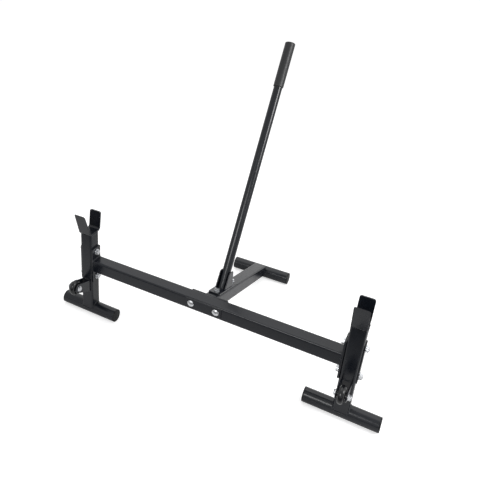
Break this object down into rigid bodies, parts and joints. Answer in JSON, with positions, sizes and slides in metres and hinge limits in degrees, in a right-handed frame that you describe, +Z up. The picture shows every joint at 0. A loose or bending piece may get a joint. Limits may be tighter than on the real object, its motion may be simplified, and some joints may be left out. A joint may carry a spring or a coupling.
{
  "type": "deadlift jack",
  "caption": "Floor jack for a loaded barbell: a crossbar between uprights with bar cradles and wheels, a rear arm to a third foot, and a long lever handle.",
  "frame": {"origin": "on the floor under the middle of the whole jack", "axes": "+X along the crossbar, +Y from the wheels towards the rear foot, +Z up"},
  "size_m": [1.243, 0.767, 1.0499],
  "materials": {
    "powder_coat": "satin black powder coat on steel",
    "cap_plastic": "moulded black plastic",
    "wheel_plastic": "moulded black plastic",
    "bush_steel": "turned bright steel",
    "zinc_plate": "bright zinc-plated steel",
    "grip_rubber": "matte black rubber"
  },
  "bodies": {
    "frame": {"crossbar": "powder_coat", "crossbar_front_plate": "powder_coat", "crossbar_end_plate_left": "powder_coat", "crossbar_end_plate_right": "powder_coat", "rear_arm_plate": "powder_coat", "rear_arm": "powder_coat", "upright_left": "powder_coat", "upright_right": "powder_coat", "upright_backing_plate_left": "powder_coat", "upright_backing_plate_right": "powder_coat", "cradle_left": "powder_coat", "cradle_right": "powder_coat", "front_foot_left": "powder_coat", "front_foot_right": "powder_coat", "rear_foot": "powder_coat", "wheel_bracket_left": "powder_coat", "wheel_bracket_right": "powder_coat", "handle_base_plate": "powder_coat", "handle_tube": "powder_coat", "handle_gusset_left": "powder_coat", "handle_gusset_right": "powder_coat", "front_foot_left_cap_left": "cap_plastic", "front_foot_left_cap_right": "cap_plastic", "front_foot_right_cap_left": "cap_plastic", "front_foot_right_cap_right": "cap_plastic", "rear_foot_cap_left": "cap_plastic", "rear_foot_cap_right": "cap_plastic", "wheel_bush_left": "bush_steel", "wheel_bush_right": "bush_steel", "wheel_axle_bolt_left": "zinc_plate", "wheel_axle_bolt_right": "zinc_plate", "wheel_axle_nut_left": "zinc_plate", "wheel_axle_nut_right": "zinc_plate", "upright_bolt_lower_left": "zinc_plate", "upright_bolt_lower_right": "zinc_plate", "upright_bolt_upper_left": "zinc_plate", "upright_bolt_upper_right": "zinc_plate", "upright_washer_lower_left": "zinc_plate", "upright_washer_lower_right": "zinc_plate", "upright_washer_upper_left": "zinc_plate", "upright_washer_upper_right": "zinc_plate", "upright_nut_lower_left": "zinc_plate", "upright_nut_lower_right": "zinc_plate", "upright_nut_upper_left": "zinc_plate", "upright_nut_upper_right": "zinc_plate", "carriage_bolt_left": "zinc_plate", "carriage_bolt_right": "zinc_plate", "carriage_nut_left": "zinc_plate", "carriage_nut_right": "zinc_plate", "handle_bolt_front": "zinc_plate", "handle_bolt_rear": "zinc_plate", "handle_washer_front": "zinc_plate", "handle_washer_rear": "zinc_plate", "handle_nut_front": "zinc_plate", "handle_nut_rear": "zinc_plate", "handle_grip": "grip_rubber"},
    "wheel_left": {"wheel_left": "wheel_plastic"},
    "wheel_right": {"wheel_right": "wheel_plastic"}
  },
  "joints": [
    {"name": "wheel_left_spin", "type": "hinge", "parent": "frame", "child": "wheel_left", "pos_m": [-0.4975, -0.35395, 0.174], "axis": [1, 0, 0], "continuous": true},
    {"name": "wheel_right_spin", "type": "hinge", "parent": "frame", "child": "wheel_right", "pos_m": [0.4975, -0.35395, 0.174], "axis": [1, 0, 0], "continuous": true}
  ]
}
